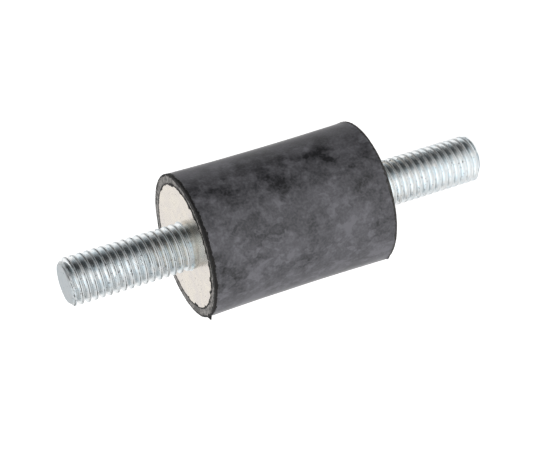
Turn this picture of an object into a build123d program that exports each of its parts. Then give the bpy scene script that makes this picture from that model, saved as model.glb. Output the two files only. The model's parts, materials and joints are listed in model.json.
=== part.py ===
"""Bobbin vibration mount: a rubber barrel moulded around two steel inserts, with a stud out of each end.

Each insert is a round plate with a headed stud pressed through it from behind. The stud's neck fills the
plate's bore, and a serrated collar under its head bites into the plate and stops it turning. The rubber
covers the heads and the backs and edges of the plates. It shrinks as it cools while the plates hold its ends,
so the barrel is narrowest at mid-height. The mould leaves a bead of trimmed flash around each rim, a parting
line down each side along the X axis, and a torn tab of flash where the line on the -X side meets each rim.

Millimetres. +Z runs along the studs. The origin is where the lower stud leaves its plate, on the face that
seats on the structure below. The studs' M10 threads are shown as plain shanks of the thread's outer diameter.
"""

import os

from build123d import *

# Overall build
body_height = 40.0  # from one seating face to the other

# End plates
plate_diameter = 25.8
plate_thickness = 2.0
plate_chamfer = 0.2  # outer edge of the seating face

# Rubber barrel
rim_width = 1.85  # rubber outside the plate's edge
rim_setback = 0.1  # how far the rubber rim stays below the seating face
waist_depth = 0.25  # how far each side draws in at mid-height

# Flash left by the mould
bead_height = 0.6
bead_depth = 0.12  # how far the bead stands out of the barrel's side
parting_height = 0.07
parting_width = 0.3
tab_root = 0.5  # how deep a tab starts inside the barrel
tab_root_width = 1.6
tab_tip_width = 0.3
tab_reaches = {"upper": 0.8, "lower": 0.45}

# Studs
stud_diameter = 9.8
stud_projection = 25.4  # beyond the seating face
tip_chamfer = 0.9
neck_step = 0.2  # plain neck in the plate's bore, over the shank, on the radius
collar_step = 0.3  # serrated collar over the neck, on the radius
collar_depth = 1.2
serration_count = 36
serration_size = 0.6  # side of a tooth's square section
head_step = 2.3  # head over the collar, on the radius
head_thickness = 2.5
head_chamfer = 0.4

# Worked out from the sizes above
plate_radius = plate_diameter / 2
rim_radius = plate_radius + rim_width
waist_radius = rim_radius - waist_depth
stud_radius = stud_diameter / 2
neck_radius = stud_radius + neck_step
collar_radius = neck_radius + collar_step
head_radius = collar_radius + head_step

# Each seat lies on a seating face, with its normal pointing out along the stud.
seats = {
    "upper": Plane(origin=(0, 0, body_height), x_dir=(1, 0, 0), z_dir=(0, 0, 1)),
    "lower": Plane(origin=(0, 0, 0), x_dir=(1, 0, 0), z_dir=(0, 0, -1)),
}


def add_serrated_disc():
    """Adds the collar's outline to the sketch in use: a disc ringed with V teeth."""
    Circle(collar_radius)
    with PolarLocations(collar_radius, serration_count):
        Rectangle(serration_size, serration_size, rotation=45)


def draw_half_section(proud):
    """Half of the barrel's long section, with its side moved out by proud."""
    bottom = rim_setback
    top = body_height - rim_setback
    with BuildSketch(Plane.XZ) as section:
        with BuildLine():
            side = ThreePointArc(
                (rim_radius + proud, bottom),
                (waist_radius + proud, body_height / 2),
                (rim_radius + proud, top),
            )
            Polyline(side @ 1, (0, top), (0, bottom), side @ 0)
        make_face()
    return section.sketch


def build_plate(seat):
    """A stamped disc, bored for the stud's neck, with a toothed pocket in its back for the collar."""
    back = seat.offset(-plate_thickness)
    with BuildPart() as plate:
        with BuildSketch(seat):
            Circle(plate_radius)
            Circle(neck_radius, mode=Mode.SUBTRACT)
        extrude(amount=-plate_thickness)
        seating_face = plate.faces().sort_by(Axis(seat.origin, seat.z_dir))[-1]
        chamfer(seating_face.outer_wire().edges(), plate_chamfer)
        with BuildSketch(back):
            add_serrated_disc()
        extrude(amount=collar_depth, mode=Mode.SUBTRACT)
    return plate.part


def build_stud(seat):
    """A headed stud, its head against the back of the plate and its chamfered tip outside."""
    back = seat.offset(-plate_thickness)
    with BuildPart() as stud:
        with BuildSketch(back):
            Circle(head_radius)
        extrude(amount=-head_thickness)
        with BuildSketch(back):
            add_serrated_disc()
        extrude(amount=collar_depth)
        with BuildSketch(back):
            Circle(neck_radius)
        extrude(amount=plate_thickness)
        with BuildSketch(seat):
            Circle(stud_radius)
        extrude(amount=stud_projection)
        ends = stud.faces().sort_by(Axis(seat.origin, seat.z_dir))
        chamfer(ends[-1].edges(), tip_chamfer)
        chamfer(ends[0].edges(), head_chamfer)
    return stud.part


plates = {end: build_plate(seat) for end, seat in seats.items()}
studs = {end: build_stud(seat) for end, seat in seats.items()}

with BuildPart() as rubber_body:
    revolve(draw_half_section(proud=0), axis=Axis.Z)

    # Parting line: a thin ridge down both sides
    ridge = extrude(draw_half_section(proud=parting_height), amount=parting_width / 2, both=True)
    mirror(ridge, about=Plane.YZ)

    # Bead and tab: one layer of flash at each rim
    for end, seat in seats.items():
        rim = seat.offset(-rim_setback)
        root_x = -(rim_radius - tab_root)
        tip_x = -(rim_radius + tab_reaches[end])
        with BuildSketch(rim):
            Circle(rim_radius + bead_depth)
            with BuildLine():
                Polyline(
                    (root_x, -tab_root_width / 2),
                    (tip_x, -tab_tip_width / 2),
                    (tip_x, tab_tip_width / 2),
                    (root_x, tab_root_width / 2),
                    close=True,
                )
            make_face()
        extrude(amount=-bead_height)

    # The inserts leave their own shapes in the rubber.
    for insert in (*plates.values(), *studs.values()):
        add(insert, mode=Mode.SUBTRACT)

pieces = {"rubber_body": rubber_body.part}
for end in seats:
    pieces[f"{end}_plate"] = plates[end]
    pieces[f"{end}_stud"] = studs[end]

os.makedirs("parts", exist_ok=True)
for name, piece in pieces.items():
    piece.label = name
    export_step(piece, f"parts/{name}.step")
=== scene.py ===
"""Looks of the bobbin vibration mount: moulded rubber, zinc-plated plates and threaded studs.

Sizes named here are in millimetres and meshes are in metres. +Z runs along the studs.
"""

import json
import math

import bmesh
import bpy
from mathutils import Matrix, Vector, noise


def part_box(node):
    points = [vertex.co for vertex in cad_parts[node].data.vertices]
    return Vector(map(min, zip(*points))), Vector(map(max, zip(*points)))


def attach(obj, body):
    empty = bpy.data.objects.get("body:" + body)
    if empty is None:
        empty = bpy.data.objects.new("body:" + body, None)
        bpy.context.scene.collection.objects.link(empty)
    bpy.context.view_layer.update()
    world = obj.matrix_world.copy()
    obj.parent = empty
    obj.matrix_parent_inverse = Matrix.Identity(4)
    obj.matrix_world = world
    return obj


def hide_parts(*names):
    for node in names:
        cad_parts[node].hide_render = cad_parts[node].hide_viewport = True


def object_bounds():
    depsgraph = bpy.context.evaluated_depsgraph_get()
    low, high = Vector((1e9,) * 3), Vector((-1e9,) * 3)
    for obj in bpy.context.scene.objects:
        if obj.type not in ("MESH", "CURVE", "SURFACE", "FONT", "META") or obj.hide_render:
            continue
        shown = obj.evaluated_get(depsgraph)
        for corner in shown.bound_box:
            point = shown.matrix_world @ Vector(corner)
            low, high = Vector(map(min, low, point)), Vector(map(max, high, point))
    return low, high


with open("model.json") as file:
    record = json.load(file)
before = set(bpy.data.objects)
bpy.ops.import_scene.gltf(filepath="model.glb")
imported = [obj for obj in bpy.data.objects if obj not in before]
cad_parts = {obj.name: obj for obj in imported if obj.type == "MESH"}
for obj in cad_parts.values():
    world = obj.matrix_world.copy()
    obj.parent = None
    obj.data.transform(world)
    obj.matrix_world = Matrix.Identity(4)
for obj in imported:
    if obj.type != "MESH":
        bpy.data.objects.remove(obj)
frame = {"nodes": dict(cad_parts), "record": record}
cad_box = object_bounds()
MM = 0.001

# Sizes read from the frame
mounts = {mount["name"]: mount for mount in frame["record"]["mounts"]}
STUD_RADIUS = mounts["upper_stud"]["dims"]["r_mm"]
UPPER_SEAT = mounts["upper_stud"]["pos_m"][2] / MM
LOWER_SEAT = mounts["lower_stud"]["pos_m"][2] / MM
TIP_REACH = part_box("upper_stud")[1][2] / MM - UPPER_SEAT
HEAD_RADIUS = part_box("upper_stud")[1][0] / MM
HEAD_DEPTH = UPPER_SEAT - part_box("upper_stud")[0][2] / MM
PLATE_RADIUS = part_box("upper_plate")[1][0] / MM
PLATE_THICKNESS = UPPER_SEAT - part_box("upper_plate")[0][2] / MM
BEAD_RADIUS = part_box("rubber_body")[1][0] / MM
RIM_SETBACK = UPPER_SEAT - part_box("rubber_body")[1][2] / MM
UPPER_TAB_TIP = -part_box("rubber_body")[0][0] / MM
MID_HEIGHT = (UPPER_SEAT + LOWER_SEAT) / 2

# Rubber
BEAD_DEPTH = 0.12
BEAD_HEIGHT = 0.65
WAIST_DEPTH = 0.25
RIM_RADIUS = BEAD_RADIUS - BEAD_DEPTH
LOWER_TAB_TIP = UPPER_TAB_TIP - 0.35
UPPER_TAB_TURN = math.pi
LOWER_TAB_TURN = math.pi + math.radians(8)
TAB_HALF_ANGLE = math.radians(3.2)
TAB_RAGGEDNESS = 0.5
PARTING_HEIGHT = 0.07
PARTING_HALF_WIDTH = 0.2
FILM_REACH = 0.17  # how far the film of rubber reaches in over a plate's face
FILM_ROOT_DEPTH = 0.4
FLAT_START = 0.28  # from a plate's edge to where the flat of the rim starts
FLAT_MARGINS = 0.4  # what the flat leaves of the rim's width
FLAT_STEPS = 10
BEAD_STEPS, BEAD_RINGS = 9, 12
SIDE_START = 0.35  # from the bead to the first ring of the plain side
SIDE_RINGS = 70
RUBBER_SEGMENTS = 600
UPPER_SEED, LOWER_SEED = 3.0, 17.0
SKIN, TORN = 0, 1

# Thread, taken as M10 x 1.5
PITCH = 1.5
THREAD_DEPTH = 0.8
CREST_SHARE = 0.32
ROOT_SHARE = 0.1
THREAD_ROUNDING = 0.08
UPPER_CHAMFER = 0.9
LOWER_CHAMFER = 0.5
THREAD_SEGMENTS = 144
ROWS_PER_TURN = 24
THREAD_START = -0.2  # just inside the plate's bore
MERGE_DISTANCE = 1e-4
SEAM_DEPTH = 0.12
SEAM_HALF_WIDTH = 0.12
ZINC, SEAM = 0, 1
NECK_STEP = 0.2

# Edges sharper than this many degrees are shaded sharp
ALL_SMOOTH, STUD_SHARP = 180, 35

# Bloom across the barrel, with painted highlight toward +X and -X and painted shade in a band near +X: where
# along X each change starts and is full, and what it adds there
BLOOM_BASE = 0.04
BLOOM_AND_LIGHT_RISE = (7.0, -1.0, 0.16)
BLOOM_AND_SHEEN_AT_PLUS_X = (9.5, 12.5, 0.28)
BLOOM_AND_LIGHT_AT_MINUS_X = (-9.0, -14.0, 0.25)
THIN_AND_SHADED_BAND_MIDDLE = 5.2
THIN_AND_SHADED_BAND = (3.0, 1.0, 0.07)  # from the band's middle, and what it takes away
SMEAR_EDGE, FEWEST_SMEARS = 6.0, 0.35  # the smears thin out to the fewest between -X and +X of this
RIM_START, RIM_FULL = 0.07, 0.04  # below the flat of the rim, where its own colour starts and is full

# Colours: each pair goes from where its pattern is 0 to where it is 1
BARE_RUBBER, BLOOMED_RUBBER = (0.016, 0.016, 0.019), (0.198, 0.196, 0.217)
STAINED_RIM, DUSTY_RIM = (0.08, 0.075, 0.07), (0.33, 0.31, 0.29)
UPPER_TORN = ((0.006, 0.006, 0.006), (0.035, 0.032, 0.03))
LOWER_TORN = ((0.03, 0.028, 0.027), (0.13, 0.125, 0.12))
PLATE_COLOURS = ((0.71, 0.655, 0.605), (0.78, 0.72, 0.63))
STUD_COLOURS = ((0.84, 0.905, 0.935), (0.935, 0.95, 0.95))
# The studs' dull colour, also used for painted shade in their roots
DULL_AND_SHADED_STUD = (0.27, 0.31, 0.335)
# The seam's dark colour is painted shade in the crest's crease
DARK_SEAM, PALE_SEAM = (0.07, 0.08, 0.08), (0.8, 0.84, 0.85)
PIT_SHADE = 0.3

# Painted shade in the studs' roots, and how dull their zinc is on its cut ends and in the worn blotches on
# its chamfers
ROOT_PAINTED_SHADE, CUT_DULLNESS, WORN_DULLNESS = 0.3, 0.6, 0.55
CREST_ROUGHNESS = 0.33  # added on crests and chamfers

# Camera: where it stands and how it is turned
CAMERA_AZIMUTH = math.radians(-4.0)
CAMERA_ELEVATION = math.radians(19.6)
CAMERA_ROLL = math.radians(107.3)
CAMERA_DISTANCE = 369.5
CAMERA_SLIDE = (-1.02, -1.41)
CAMERA_LENS = 122.2
SENSOR_WIDTH = 36
CLIP_START = 0.01  # metres

# Cards that shade the world: azimuth of the middle, from where to where the soft edge runs on each side of it
# in degrees, and level. The floor repeats them for reflections.
DARK_CARD = (CAMERA_AZIMUTH + math.radians(74), (6, 84), (10, 78), 0.08)
GREY_CARD = (CAMERA_AZIMUTH - math.radians(125), (15, 50), (10, 75), 0.78)
FOOT_TURN = math.radians(8)  # how far the dark card's foot is turned toward the camera
FOOT_INNER, FOOT_OUTER = 60.0, 95.0  # turned fully within the first radius and not at all past the second
TIP_CLEAR_INNER, TIP_CLEAR_OUTER = 5.4, 8.0  # radii between which the cards' shade on the floor starts

# Floor, and the pool of light that only reflections show on it
FLOOR_RADIUS = 3000
FLOOR_SEGMENTS = 64
FLOOR_GAP = 0.02
FLOOR_GLOW = 0.6
PAPER = (0.9, 0.9, 0.9)
MIRRORED_GLOW = 0.15
POOL_GLOW = 0.8
POOL_INNER, POOL_OUTER = 35.0, 110.0
POOL_FORWARD = 60.0  # from the studs' axis toward the camera


def smooth(low, high, value):
    """0 below low, 1 above high, and a smooth step between."""
    t = min(max((value - low) / (high - low), 0.0), 1.0)
    return t * t * (3 - 2 * t)


def grain(x, y, z, size):
    """Noise from about -1 to 1, to be scaled to a height, with features about size millimetres across."""
    return noise.noise(Vector((x / size, y / size, z / size)))


# ---------------------------------------------------------------- meshes


def make_object(name, bm, sharp_angle):
    """Turns a bmesh in millimetres into a smooth-shaded object in metres."""
    bmesh.ops.recalc_face_normals(bm, faces=bm.faces)
    bmesh.ops.scale(bm, vec=(MM, MM, MM), verts=bm.verts)
    mesh = bpy.data.meshes.new(name)
    bm.to_mesh(mesh)
    bm.free()
    mesh.shade_smooth()
    mesh.set_sharp_from_angle(angle=math.radians(sharp_angle))
    piece = bpy.data.objects.new(name, mesh)
    bpy.context.scene.collection.objects.link(piece)
    return piece


def add_lathe(bm, rows):
    """Adds closed rings of points, joined one to the next, and closes both ends at their centres."""
    rings = [[bm.verts.new(point) for point in row] for row in rows]
    count = len(rings[0])
    for ring, above in zip(rings, rings[1:]):
        for i in range(count):
            j = (i + 1) % count
            bm.faces.new((ring[i], ring[j], above[j], above[i]))
    for ring in (rings[0], rings[-1]):
        centre = bm.verts.new(sum((vert.co for vert in ring), Vector()) / count)
        for i in range(count):
            bm.faces.new((ring[i], ring[(i + 1) % count], centre))


def circle_row(radius, height, segments):
    """A level ring of points about the Z axis."""
    turns = (2 * math.pi * i / segments for i in range(segments))
    return [(radius * math.cos(turn), radius * math.sin(turn), height) for turn in turns]


# ---------------------------------------------------------------- rubber


def tab_shape(from_tab, tear):
    """How much of a tab's full reach stands at this angle from its middle, from 0 to 1."""
    away = abs(math.remainder(from_tab, 2 * math.pi)) / TAB_HALF_ANGLE
    if away >= 2:
        return 0.0
    return max(0.0, 1 - away * (1 + TAB_RAGGEDNESS * tear))


def parting_ridge(turn, radius):
    """Height of the parting line's ridge at this angle."""
    away = min(abs(turn), abs(abs(turn) - math.pi)) * radius
    return PARTING_HEIGHT * max(0.0, 1 - (away / PARTING_HALF_WIDTH) ** 2)


def side_radius(height):
    """Radius of the plain side, which is drawn in at mid-height."""
    half = MID_HEIGHT - RIM_SETBACK - LOWER_SEAT
    return RIM_RADIUS - WAIST_DEPTH * (1 - ((height - MID_HEIGHT) / half) ** 2)


def end_stations():
    """Rings of one end from its middle outwards: radius, depth below the seat and which part it is."""
    lip = PLATE_RADIUS - FILM_REACH
    stations = [
        (HEAD_RADIUS, HEAD_DEPTH, "under"),
        (HEAD_RADIUS, PLATE_THICKNESS, "under"),
        (PLATE_RADIUS, PLATE_THICKNESS, "under"),
        (PLATE_RADIUS, FILM_ROOT_DEPTH, "under"),
        (lip, 0.03, "lip"),
        (lip - 0.02, -0.03, "lip"),
        (lip + 0.07, -0.06, "lip"),
        (PLATE_RADIUS + 0.04, -0.01, "flat"),
        (PLATE_RADIUS + 0.16, 0.08, "flat"),
    ]
    flat_width = RIM_RADIUS - PLATE_RADIUS - FLAT_MARGINS
    for k in range(FLAT_STEPS + 1):
        radius = PLATE_RADIUS + FLAT_START + k * flat_width / FLAT_STEPS
        stations.append((radius, RIM_SETBACK, "flat"))
    stations.append((RIM_RADIUS - 0.06, RIM_SETBACK - 0.02, "edge"))
    stations.append((RIM_RADIUS + 0.02, RIM_SETBACK + 0.03, "edge"))
    for k in range(BEAD_RINGS):
        depth = RIM_SETBACK + 0.08 + k * BEAD_HEIGHT / BEAD_STEPS
        stations.append((RIM_RADIUS, depth, "bead"))
    return stations


def flash_depth(x, y, seed):
    """How far down the side the torn flash reaches here, below the seat."""
    share = 0.7 + 0.45 * grain(x, y, seed, 2.2) + 0.4 * grain(x, y, seed + 5, 0.5)
    return RIM_SETBACK + BEAD_HEIGHT * share


def flash_creep(x, y, seed):
    """How far the torn flash reaches in over the flat of the rim here, furthest on the -Y side."""
    wider = 0.85 * smooth(0.2, 0.85, -y / RIM_RADIUS)
    return 0.38 + wider + 0.35 * grain(x, y, seed + 8, 1.8) + 0.3 * grain(x, y, seed, 0.5)


def film_creep(x, y, seed):
    """How far the film on a plate reaches in past its mean edge, with nibs, mostly toward -X and -Y."""
    wave = 0.14 * grain(x, y, seed, 1.9) + 0.14 * grain(x, y, seed, 0.5)
    nib = smooth(0.16, 0.3, grain(x, y, seed + 9, 0.9)) * (0.15 + 0.5 * abs(grain(x, y, seed, 0.35)))
    share = 0.5 + smooth(-0.3, 0.8, -(x + y) / PLATE_RADIUS)
    return wave + nib * share


def flat_depth(depth, radius, x, y, seed):
    """Depth of the rim's flat, less where the torn flash lies on it."""
    depth += 0.03 * grain(x, y, seed, 2.5) + 0.02 * grain(x, y, seed, 0.5)
    inside = RIM_RADIUS - radius - flash_creep(x, y, seed)
    return depth - smooth(0.06, -0.06, inside) * (0.05 + 0.05 * grain(x, y, seed, 0.3))


def bead_radius(depth, turn, x, y, end):
    """Radius across the bead, which stands out of the side as far as it isn't torn off, with its tab."""
    _, _, seed, tab_tip, tab_turn = end
    rag = grain(x, y, depth * 1.5 + seed, 0.4)
    tear = grain(x, y, depth + seed, 1.2)
    cover = smooth(0.05, -0.05, depth - flash_depth(x, y, seed))
    radius = RIM_RADIUS + cover * BEAD_DEPTH * (0.45 + 0.35 * tear + 0.45 * rag)
    from_middle = (depth - RIM_SETBACK - BEAD_HEIGHT * 0.45) / (BEAD_HEIGHT * 0.62)
    hump = max(0.0, 1 - abs(from_middle) ** 2)
    reach = tab_shape(turn - tab_turn, tear) * hump * (0.85 + 0.3 * rag)
    radius += (tab_tip - RIM_RADIUS) * min(reach, 1.0)
    return min(radius, BEAD_RADIUS if reach <= 0 else tab_tip)


def place_end_point(station, turn, end):
    """A point of an end's ring in millimetres."""
    radius, depth, part = station
    seat, out, seed, _, _ = end
    x, y = radius * math.cos(turn), radius * math.sin(turn)
    if part == "lip":
        radius -= film_creep(x, y, seed)
    elif part == "flat":
        depth = flat_depth(depth, radius, x, y, seed)
    elif part == "edge":
        radius += 0.04 * grain(x, y, seed, 1.1) + 0.05 * grain(x, y, seed, 0.3)
        depth += 0.04 * grain(x, y, seed, 0.8)
    elif part == "bead":
        radius = bead_radius(depth, turn, x, y, end)
    return (radius * math.cos(turn), radius * math.sin(turn), seat - out * depth)


def is_torn(x, y, z):
    """Whether the rubber is torn here, as it is on the flash round the rims and along the plates' edges."""
    upper = z > MID_HEIGHT
    seed = UPPER_SEED if upper else LOWER_SEED
    depth = UPPER_SEAT - z if upper else z - LOWER_SEAT
    radius = math.hypot(x, y)
    if radius > RIM_RADIUS - 0.05:
        return depth < flash_depth(x, y, seed)
    if radius > PLATE_RADIUS + 0.35:
        return depth < BEAD_HEIGHT and radius > RIM_RADIUS - flash_creep(x, y, seed)
    return depth < BEAD_HEIGHT and radius < PLATE_RADIUS + 0.12 + 0.2 * grain(x, y, seed, 0.6)


def build_end(end, turns):
    """The rings of one end, from its middle outwards."""
    return [[place_end_point(station, turn, end) for turn in turns] for station in end_stations()]


def place_side_point(height, turn):
    """A point of the side in millimetres, on moulded rubber that is a little uneven."""
    radius = side_radius(height)
    x, y = radius * math.cos(turn), radius * math.sin(turn)
    radius += 0.03 * grain(x, y, height, 9.0) + 0.008 * grain(x, y, height, 2.0)
    radius += parting_ridge(turn, radius)
    return (radius * math.cos(turn), radius * math.sin(turn), height)


def build_side(turns):
    """The rings of the side, from the top down."""
    top = UPPER_SEAT - RIM_SETBACK - BEAD_HEIGHT - SIDE_START
    bottom = LOWER_SEAT + RIM_SETBACK + BEAD_HEIGHT + SIDE_START
    heights = [top + (bottom - top) * k / (SIDE_RINGS - 1) for k in range(SIDE_RINGS)]
    return [[place_side_point(height, turn) for turn in turns] for height in heights]


def build_rubber():
    """The moulded barrel with its torn beads, tabs, parting lines and the film on the plates' edges."""
    turns = [2 * math.pi * i / RUBBER_SEGMENTS - math.pi for i in range(RUBBER_SEGMENTS)]
    upper = build_end((UPPER_SEAT, 1, UPPER_SEED, UPPER_TAB_TIP, UPPER_TAB_TURN), turns)
    lower = build_end((LOWER_SEAT, -1, LOWER_SEED, LOWER_TAB_TIP, LOWER_TAB_TURN), turns)
    bm = bmesh.new()
    add_lathe(bm, upper + build_side(turns) + lower[::-1])
    for face in bm.faces:
        face.material_index = TORN if is_torn(*face.calc_center_median()) else SKIN
    return make_object("rubber_barrel", bm, ALL_SMOOTH)


# ---------------------------------------------------------------- studs


def soft_limit(value):
    """Value held between 0 and 1, rounded where it meets either limit."""
    above = (value + math.hypot(value, THREAD_ROUNDING)) / 2
    below = 1 - above
    return 1 - (below + math.hypot(below, THREAD_ROUNDING)) / 2


def thread_radius(turn, along, chamfer):
    """Radius of the thread at this angle, along millimetres out from the seat."""
    phase = (along / PITCH - turn / (2 * math.pi)) % 1.0
    from_crest = min(phase, 1 - phase) * 2
    depth = THREAD_DEPTH * soft_limit((from_crest - CREST_SHARE) / (1 - CREST_SHARE - ROOT_SHARE))
    depth += SEAM_DEPTH * max(0.0, 1 - from_crest * PITCH / 2 / SEAM_HALF_WIDTH)
    cone = STUD_RADIUS - chamfer + (TIP_REACH - along)
    return min(STUD_RADIUS - depth, cone)


def add_thread(bm, base, out, chamfer):
    """Adds the threaded shank as a mesh whose rows follow the helix, cut off level at both ends."""
    row_count = ROWS_PER_TURN * (math.ceil(TIP_REACH / PITCH) + 2)
    grid = []
    for row in range(row_count):
        points = []
        for i in range(THREAD_SEGMENTS):
            turn = 2 * math.pi * i / THREAD_SEGMENTS
            along = (row / ROWS_PER_TURN - 1 + i / THREAD_SEGMENTS) * PITCH
            along = min(max(along, THREAD_START), TIP_REACH)
            radius = thread_radius(turn, along, chamfer)
            point = (radius * math.cos(turn), out * radius * math.sin(turn), base + out * along)
            points.append(bm.verts.new(point))
        grid.append(points)
    last = THREAD_SEGMENTS - 1
    for row in range(row_count - 1):
        beside_crest = (row + 1) % ROWS_PER_TURN < 2
        for i in range(THREAD_SEGMENTS):
            # The end of one row meets the start of the row a full turn on
            next_row, next_i = (row, i + 1) if i < last else (row + ROWS_PER_TURN, 0)
            if next_row + 1 < row_count:
                beside, beside_far = grid[next_row][next_i], grid[next_row + 1][next_i]
                face = bm.faces.new((grid[row][i], beside, beside_far, grid[row + 1][i]))
                face.material_index = SEAM if beside_crest else ZINC
    bmesh.ops.remove_doubles(bm, verts=bm.verts, dist=MERGE_DISTANCE)
    bmesh.ops.holes_fill(bm, edges=[edge for edge in bm.edges if edge.is_boundary], sides=0)


def build_stud(name, seat, out, chamfer):
    """A stud with its thread, its neck in the plate and its head in the rubber."""
    bm = bmesh.new()
    add_thread(bm, seat, out, chamfer)
    neck = STUD_RADIUS + NECK_STEP
    outline = [
        (neck, 0),
        (neck, PLATE_THICKNESS),
        (HEAD_RADIUS, PLATE_THICKNESS),
        (HEAD_RADIUS, HEAD_DEPTH),
    ]
    add_lathe(bm, [circle_row(radius, seat - out * depth, THREAD_SEGMENTS) for radius, depth in outline])
    return make_object(name, bm, STUD_SHARP)


# ---------------------------------------------------------------- materials


class Nodes:
    """A node tree with short helpers for the nodes that this scene uses."""

    def __init__(self, tree, coordinate):
        self.tree = tree
        self.place = tree.nodes.new("ShaderNodeTexCoord").outputs[coordinate]

    def link(self, source, target):
        self.tree.links.new(source, target)

    def noise(self, size, detail=3.0, distortion=0.0, offset=0.0, stretch=1.0):
        """Noise with features about size millimetres across, drawn out by stretch along the studs' axis."""
        node = self.tree.nodes.new("ShaderNodeTexNoise")
        node.noise_dimensions = "4D"
        node.inputs["W"].default_value = offset
        node.inputs["Scale"].default_value = 1 / (size * MM)
        node.inputs["Detail"].default_value = detail
        node.inputs["Distortion"].default_value = distortion
        drawn = self.tree.nodes.new("ShaderNodeMapping")
        drawn.inputs["Scale"].default_value = (1, 1, 1 / stretch)
        self.link(self.place, drawn.inputs["Vector"])
        self.link(drawn.outputs["Vector"], node.inputs["Vector"])
        return node.outputs["Fac"]

    def ramp(self, value, low, high, out_low=0.0, out_high=1.0):
        """Maps value between low and high to out_low and out_high with a smooth step."""
        node = self.tree.nodes.new("ShaderNodeMapRange")
        node.interpolation_type = "SMOOTHSTEP"
        self.link(value, node.inputs["Value"])
        for key, number in zip(("From Min", "From Max", "To Min", "To Max"), (low, high, out_low, out_high)):
            node.inputs[key].default_value = number
        return node.outputs["Result"]

    def math(self, operation, first, second):
        """One arithmetic node; each value is a number or a socket."""
        node = self.tree.nodes.new("ShaderNodeMath")
        node.operation = operation
        for socket, value in zip(node.inputs, (first, second)):
            if isinstance(value, (int, float)):
                socket.default_value = value
            else:
                self.link(value, socket)
        return node.outputs["Value"]

    def mix(self, share, first, second):
        """Blends two colours, each a tuple or a socket."""
        node = self.tree.nodes.new("ShaderNodeMix")
        node.data_type = "RGBA"
        self.link(share, node.inputs["Factor"])
        for socket, value in ((node.inputs[6], first), (node.inputs[7], second)):
            if isinstance(value, tuple):
                socket.default_value = (*value, 1.0)
            else:
                self.link(value, socket)
        return node.outputs[2]

    def axis(self, index):
        """One coordinate of the object's own place, in metres."""
        node = self.tree.nodes.new("ShaderNodeSeparateXYZ")
        self.link(self.place, node.inputs["Vector"])
        return node.outputs[index]

    def radius(self, middle=(0, 0)):
        """Distance from the studs' axis or an upright line through middle, in metres."""
        flat = self.tree.nodes.new("ShaderNodeMapping")
        flat.inputs["Location"].default_value = (-middle[0] * MM, -middle[1] * MM, 0)
        flat.inputs["Scale"].default_value = (1, 1, 0)
        self.link(self.place, flat.inputs["Vector"])
        node = self.tree.nodes.new("ShaderNodeVectorMath")
        node.operation = "LENGTH"
        self.link(flat.outputs["Vector"], node.inputs[0])
        return node.outputs["Value"]

    def along(self, direction):
        """How far the place lies along a direction."""
        node = self.tree.nodes.new("ShaderNodeVectorMath")
        node.operation = "DOT_PRODUCT"
        node.inputs[1].default_value = direction
        self.link(self.place, node.inputs[0])
        return node.outputs["Value"]

    def from_middle(self):
        """Distance above or below the middle of the barrel, in metres."""
        return self.math("ABSOLUTE", self.math("SUBTRACT", self.axis(2), MID_HEIGHT * MM), 0.0)

    def toward_lower_end(self, most=1.0):
        """0 above the middle of the barrel, rising to most at the lower seat."""
        return self.ramp(self.axis(2), MID_HEIGHT * MM, LOWER_SEAT * MM, 0.0, most)

    def across(self, start, full, amount):
        """0 up to start along X and amount from full on, both places in millimetres."""
        return self.ramp(self.axis(0), start * MM, full * MM, 0.0, amount)

    def light_path(self, ray):
        """1 for rays of this kind and 0 for others."""
        return self.tree.nodes.new("ShaderNodeLightPath").outputs[ray]


class Material(Nodes):
    """A material around one Principled shader."""

    def __init__(self, name):
        self.data = bpy.data.materials.new(name)
        self.data.use_nodes = True
        super().__init__(self.data.node_tree, "Object")
        self.shader = self.tree.nodes["Principled BSDF"]

    def bump(self, height, distance, strength=1.0):
        """Bumps the surface by height, whose full range stands for distance millimetres."""
        node = self.tree.nodes.new("ShaderNodeBump")
        node.inputs["Distance"].default_value = distance * MM
        node.inputs["Strength"].default_value = strength
        self.link(height, node.inputs["Height"])
        self.link(node.outputs["Normal"], self.shader.inputs["Normal"])

    def colour(self, value):
        self.link(value, self.shader.inputs["Base Color"])

    def roughness(self, value):
        self.link(value, self.shader.inputs["Roughness"])


def bloom_pattern(rubber):
    """Clouds, wisps, smears and specks of bloom, less thin pools, with fewer smears toward +X."""
    clouds = rubber.ramp(rubber.noise(8.0, detail=5.0, distortion=0.6, offset=1.3), 0.36, 0.66)
    wisps = rubber.ramp(rubber.noise(2.4, detail=6.0, distortion=0.2, offset=4.1), 0.48, 0.7)
    specks = rubber.ramp(rubber.noise(0.5, detail=4.0, distortion=0.3, offset=7.7), 0.38, 0.66)
    smears = rubber.ramp(rubber.noise(2.2, detail=6.0, distortion=0.8, offset=6.3, stretch=1.3), 0.53, 0.59)
    thinned = rubber.ramp(rubber.axis(0), SMEAR_EDGE * MM, -SMEAR_EDGE * MM, FEWEST_SMEARS, 1.0)
    smears = rubber.math("MULTIPLY", smears, thinned)
    pools = rubber.ramp(rubber.noise(4.0, detail=6.0, distortion=0.3, offset=9.2, stretch=1.8), 0.46, 0.68)
    bloom = rubber.math("MULTIPLY", clouds, 0.4)
    for layer, weight in ((wisps, 0.4), (smears, 0.3), (specks, 0.24), (pools, -0.3)):
        bloom = rubber.math("ADD", bloom, rubber.math("MULTIPLY", layer, weight))
    return bloom


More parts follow.
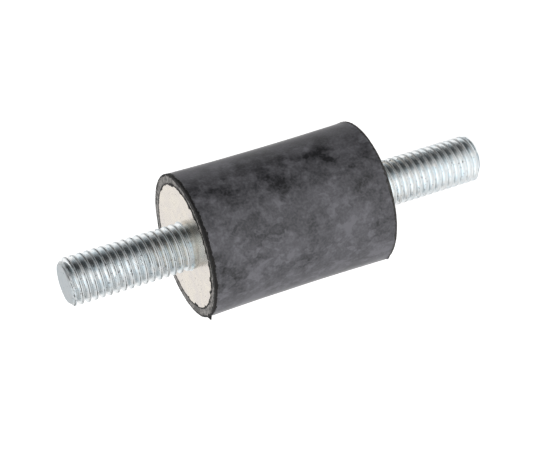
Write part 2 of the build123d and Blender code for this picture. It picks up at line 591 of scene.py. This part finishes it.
def bloom_and_painted_light_across(rubber):
    """What the bloom gains and loses across the barrel, the same all along it, partly painted highlight
    toward +X and -X and painted shade in a band near +X.
    """
    # The thin band near +X is partly painted shade, and the gains toward +X and -X are partly painted
    # highlight.
    from_band = rubber.math("SUBTRACT", rubber.axis(0), THIN_AND_SHADED_BAND_MIDDLE * MM)
    start, full, loss = THIN_AND_SHADED_BAND
    thinner_and_shaded = rubber.ramp(rubber.math("ABSOLUTE", from_band, 0.0), start * MM, full * MM, 0.0, loss)
    side = rubber.math("SUBTRACT", rubber.across(*BLOOM_AND_LIGHT_RISE), thinner_and_shaded)
    edges = rubber.math("ADD", rubber.across(*BLOOM_AND_SHEEN_AT_PLUS_X), rubber.across(*BLOOM_AND_LIGHT_AT_MINUS_X))
    return rubber.math("ADD", rubber.math("ADD", side, edges), BLOOM_BASE)


def rubber_skin_material():
    """Black rubber under a cloudy grey bloom, with painted highlight and shade across the barrel, browner and
    stained on the flat of the rims.
    """
    rubber = Material("rubber_skin")
    # The bloom here carries painted highlight and shade across the barrel as well as the bloom itself.
    bloom = rubber.math("ADD", bloom_pattern(rubber), bloom_and_painted_light_across(rubber))
    surface = rubber.mix(bloom, BARE_RUBBER, BLOOMED_RUBBER)
    rim = (UPPER_SEAT - MID_HEIGHT - RIM_SETBACK) * MM
    on_rim = rubber.ramp(rubber.from_middle(), rim - RIM_START * MM, rim - RIM_FULL * MM)
    stains = rubber.ramp(rubber.noise(0.9, detail=4.0, distortion=0.8, offset=3.7), 0.42, 0.58)
    rubber.colour(rubber.mix(on_rim, surface, rubber.mix(stains, STAINED_RIM, DUSTY_RIM)))
    rubber.roughness(rubber.ramp(bloom, 0.0, 1.0, 0.36, 0.6))
    rubber.bump(rubber.noise(0.3, detail=4.0, offset=5.0), distance=0.03, strength=0.6)
    rubber.shader.inputs["Specular IOR Level"].default_value = 0.5
    rubber.shader.inputs["Sheen Weight"].default_value = 0.85
    rubber.shader.inputs["Sheen Roughness"].default_value = 0.2
    return rubber.data


def torn_rubber_material():
    """Bare black rubber where the flash tore off, rough, without bloom and paler toward the lower end."""
    torn = Material("torn_rubber")
    tone = torn.ramp(torn.noise(0.35, detail=3.0, distortion=0.5, offset=2.9), 0.35, 0.75)
    lower_share = torn.toward_lower_end()
    dark = torn.mix(lower_share, UPPER_TORN[0], LOWER_TORN[0])
    pale = torn.mix(lower_share, UPPER_TORN[1], LOWER_TORN[1])
    torn.colour(torn.mix(tone, dark, pale))
    torn.roughness(torn.ramp(tone, 0.0, 1.0, 0.55, 0.85))
    torn.bump(torn.noise(0.2, detail=4.0, offset=6.0), distance=0.06, strength=0.9)
    torn.shader.inputs["Specular IOR Level"].default_value = 0.25
    return torn.data


def zinc_base(zinc, colours, smudge_size):
    """Colour of zinc plating with faint smudges and a few pits."""
    dull, bright = colours
    tint = zinc.ramp(zinc.noise(smudge_size, detail=3.0, distortion=0.8, offset=2.2), 0.35, 0.65)
    pits = zinc.ramp(zinc.noise(0.5, detail=2.0, offset=8.0), 0.64, 0.69)
    return zinc.mix(pits, zinc.mix(tint, dull, bright), tuple(PIT_SHADE * level for level in dull))


def plate_material():
    """Satin zinc, warm from its clear passivation."""
    zinc = Material("plate_zinc")
    zinc.shader.inputs["Metallic"].default_value = 1.0
    zinc.colour(zinc_base(zinc, PLATE_COLOURS, smudge_size=3.2))
    patches = zinc.noise(1.4, detail=4.0, distortion=0.4, offset=3.3)
    zinc.roughness(zinc.ramp(patches, 0.3, 0.7, 0.17, 0.25))
    zinc.bump(zinc.noise(0.35, detail=3.0, offset=6.0), distance=0.0012, strength=0.6)
    return zinc.data


def under_crest(zinc, start, full):
    """0 up to start and 1 from full on, both in millimetres under the thread's outer radius."""
    return zinc.ramp(zinc.radius(), (STUD_RADIUS - start) * MM, (STUD_RADIUS - full) * MM)


def near_tip(zinc, start, full):
    """0 up to start and 1 from full on, both in millimetres short of a stud's tip."""
    tip = UPPER_SEAT + TIP_REACH - MID_HEIGHT
    return zinc.ramp(zinc.from_middle(), (tip - start) * MM, (tip - full) * MM)


def stud_dullness_and_root_shade(zinc, chamfer):
    """Painted shade in the thread's roots, and how dull the zinc is on the cut ends and in blotches on the
    chamfers.
    """
    # The darker roots are painted shade in the thread's grooves.
    root = under_crest(zinc, THREAD_DEPTH * 0.45, THREAD_DEPTH * 0.95)
    cut = near_tip(zinc, 0.06, 0.02)
    blotches = zinc.ramp(zinc.noise(0.6, detail=3.0, distortion=0.5, offset=4.4), 0.45, 0.6)
    worn = zinc.math("MULTIPLY", zinc.math("SUBTRACT", chamfer, cut), blotches)
    dull = zinc.math("MULTIPLY", root, ROOT_PAINTED_SHADE)
    dull = zinc.math("MAXIMUM", dull, zinc.math("MULTIPLY", cut, CUT_DULLNESS))
    return zinc.math("MAXIMUM", dull, zinc.math("MULTIPLY", worn, WORN_DULLNESS))


def stud_material():
    """Bright zinc on a rolled thread: rougher on its crests and chamfers, painted shade in its roots, dull at
    its cut tips.
    """
    zinc = Material("stud_zinc")
    zinc.shader.inputs["Metallic"].default_value = 1.0
    chamfer = near_tip(zinc, UPPER_CHAMFER, UPPER_CHAMFER * 0.8)
    base = zinc_base(zinc, STUD_COLOURS, smudge_size=1.8)
    zinc.colour(zinc.mix(stud_dullness_and_root_shade(zinc, chamfer), base, DULL_AND_SHADED_STUD))
    patches = zinc.noise(0.9, detail=4.0, distortion=0.4, offset=3.3)
    fine = zinc.ramp(patches, 0.3, 0.7, 0.07, 0.16)
    rough = zinc.math("MAXIMUM", under_crest(zinc, 0.22, 0.05), chamfer)
    zinc.roughness(zinc.math("ADD", fine, zinc.math("MULTIPLY", rough, CREST_ROUGHNESS)))
    zinc.bump(zinc.noise(0.3, detail=3.0, offset=6.0), distance=0.014, strength=0.7)
    return zinc.data


def seam_material():
    """Dull zinc in the seam that rolling leaves along the thread's crest, darkened as painted shade, and
    paler on the lower stud as painted light.
    """
    zinc = Material("seam_zinc")
    zinc.shader.inputs["Metallic"].default_value = 1.0
    # The seam's dark colour is painted shade in the crest's crease, and the paler seam on the lower stud is
    # painted light.
    seam_paleness = zinc.ramp(zinc.noise(1.0, detail=4.0, distortion=0.3, offset=5.5), 0.42, 0.62)
    seam_paleness = zinc.math("MAXIMUM", seam_paleness, zinc.toward_lower_end(most=0.95))
    zinc.colour(zinc.mix(seam_paleness, DARK_SEAM, PALE_SEAM))
    zinc.roughness(zinc.ramp(seam_paleness, 0.0, 1.0, 0.5, 0.35))
    zinc.bump(zinc.noise(0.2, detail=3.0, offset=6.0), distance=0.01, strength=0.7)
    return zinc.data


def dress(piece, slot_name, *materials):
    """Gives a new piece its materials and its body."""
    for material in materials:
        piece.data.materials.append(material)
    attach(piece, "root")


# ---------------------------------------------------------------- surroundings


def camera_axes():
    """Right, up and back of the camera, from its azimuth from -Y, its elevation and its roll."""
    sin_a, cos_a = math.sin(CAMERA_AZIMUTH), math.cos(CAMERA_AZIMUTH)
    sin_e, cos_e = math.sin(CAMERA_ELEVATION), math.cos(CAMERA_ELEVATION)
    back = Vector((sin_a * cos_e, -cos_a * cos_e, sin_e))
    level_right = Vector((cos_a, sin_a, 0))
    level_up = back.cross(level_right)
    up = level_up * math.cos(CAMERA_ROLL) + level_right * math.sin(CAMERA_ROLL)
    return up.cross(back), up, back


def add_camera():
    """A long lens aimed at the middle of the barrel from the side, a little above, turned on its side."""
    right, up, back = camera_axes()
    data = bpy.data.cameras.new("camera")
    data.lens = CAMERA_LENS
    data.sensor_width = SENSOR_WIDTH
    data.clip_start = CLIP_START
    camera = bpy.data.objects.new("camera", data)
    middle = Vector((0, 0, MID_HEIGHT))
    place = middle + CAMERA_SLIDE[0] * right + CAMERA_SLIDE[1] * up + CAMERA_DISTANCE * back
    placement = Matrix((right, up, back)).transposed().to_4x4()
    placement.translation = place * MM
    camera.matrix_world = placement
    bpy.context.scene.collection.objects.link(camera)
    bpy.context.scene.camera = camera


def card_shade(nodes, card, turn):
    """The card's level toward it and 1 away from it, with soft edges, by azimuth less turn."""
    azimuth, low_edge, high_edge, level = card
    toward = nodes.along((math.sin(azimuth), -math.cos(azimuth), 0))
    aside = nodes.along((math.cos(azimuth), math.sin(azimuth), 0))
    angle = nodes.math("ADD", nodes.math("ARCTAN2", aside, toward), turn)
    low_side = nodes.ramp(angle, -math.radians(low_edge[1]), -math.radians(low_edge[0]), 1.0, level)
    high_side = nodes.ramp(angle, math.radians(high_edge[0]), math.radians(high_edge[1]), level, 1.0)
    return nodes.math("MAXIMUM", low_side, high_side)


def both_shades(nodes, turn=0.0):
    """Both cards' shade together, with the dark card turned toward the camera."""
    return nodes.math("MULTIPLY", card_shade(nodes, DARK_CARD, turn), card_shade(nodes, GREY_CARD, 0.0))


def add_world():
    """White light from all round but for a dark and a pale grey card; the camera sees it white all over."""
    world = bpy.data.worlds.new("studio")
    world.use_nodes = True
    studio = Nodes(world.node_tree, "Generated")
    background = world.node_tree.nodes["Background"]
    background.inputs["Color"].default_value = (1, 1, 1, 1)
    seen = studio.math("MAXIMUM", studio.light_path("Is Camera Ray"), both_shades(studio))
    studio.link(seen, background.inputs["Strength"])
    bpy.context.scene.world = world


def floor_tone(paper, mirrored):
    """How pale the floor is: 1, but less in reflections where the cards shade it, clear of the lower tip."""
    turn = paper.ramp(paper.radius(), FOOT_OUTER * MM, FOOT_INNER * MM, 0.0, FOOT_TURN)
    clear_of_tip = paper.ramp(paper.radius(), TIP_CLEAR_INNER * MM, TIP_CLEAR_OUTER * MM)
    cover = paper.math("MULTIPLY", clear_of_tip, paper.math("SUBTRACT", 1.0, both_shades(paper, turn)))
    return paper.math("SUBTRACT", 1.0, paper.math("MULTIPLY", mirrored, cover))


def floor_glow(paper, mirrored):
    """How much light the floor gives off to the camera, and to reflections, with a pool toward the camera."""
    seen = paper.math("MULTIPLY", paper.light_path("Is Camera Ray"), FLOOR_GLOW)
    middle = (POOL_FORWARD * math.sin(CAMERA_AZIMUTH), -POOL_FORWARD * math.cos(CAMERA_AZIMUTH))
    pool = paper.ramp(paper.radius(middle), POOL_OUTER * MM, POOL_INNER * MM, MIRRORED_GLOW, POOL_GLOW)
    return paper.math("MAXIMUM", seen, paper.math("MULTIPLY", mirrored, pool))


def add_floor():
    """A broad pale floor under the lower stud's tip, which the camera sees white but for the shadow."""
    bm = bmesh.new()
    bmesh.ops.create_circle(bm, cap_ends=True, radius=FLOOR_RADIUS, segments=FLOOR_SEGMENTS)
    for vert in bm.verts:
        vert.co.z = cad_box[0][2] / MM - FLOOR_GAP
    floor = make_object("floor", bm, ALL_SMOOTH)
    paper = Material("floor_paper")
    mirrored = paper.light_path("Is Glossy Ray")
    tone = floor_tone(paper, mirrored)
    paper.colour(paper.mix(tone, (0, 0, 0), PAPER))
    paper.shader.inputs["Roughness"].default_value = 0.9
    paper.shader.inputs["Specular IOR Level"].default_value = 0.0
    paper.shader.inputs["Emission Color"].default_value = (1, 1, 1, 1)
    glow = paper.math("MULTIPLY", floor_glow(paper, mirrored), tone)
    paper.link(glow, paper.shader.inputs["Emission Strength"])
    floor.data.materials.append(paper.data)


# ---------------------------------------------------------------- the scene

rubber = build_rubber()
dress(rubber, "rubber", rubber_skin_material(), torn_rubber_material())
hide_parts("rubber_body")

plate_zinc = plate_material()
for name in ("upper_plate", "lower_plate"):
    frame["nodes"][name].data.materials.clear()
    frame["nodes"][name].data.materials.append(plate_zinc)

stud_zinc = stud_material()
seam_zinc = seam_material()
for name, seat, out, chamfer in (
    ("upper_stud", UPPER_SEAT, 1, UPPER_CHAMFER),
    ("lower_stud", LOWER_SEAT, -1, LOWER_CHAMFER),
):
    stud = build_stud(f"{name}_threaded", seat, out, chamfer)
    dress(stud, "stud_steel", stud_zinc, seam_zinc)
    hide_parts(name)

add_camera()
add_world()
add_floor()

view = bpy.context.scene.view_settings
view.view_transform = "Standard"
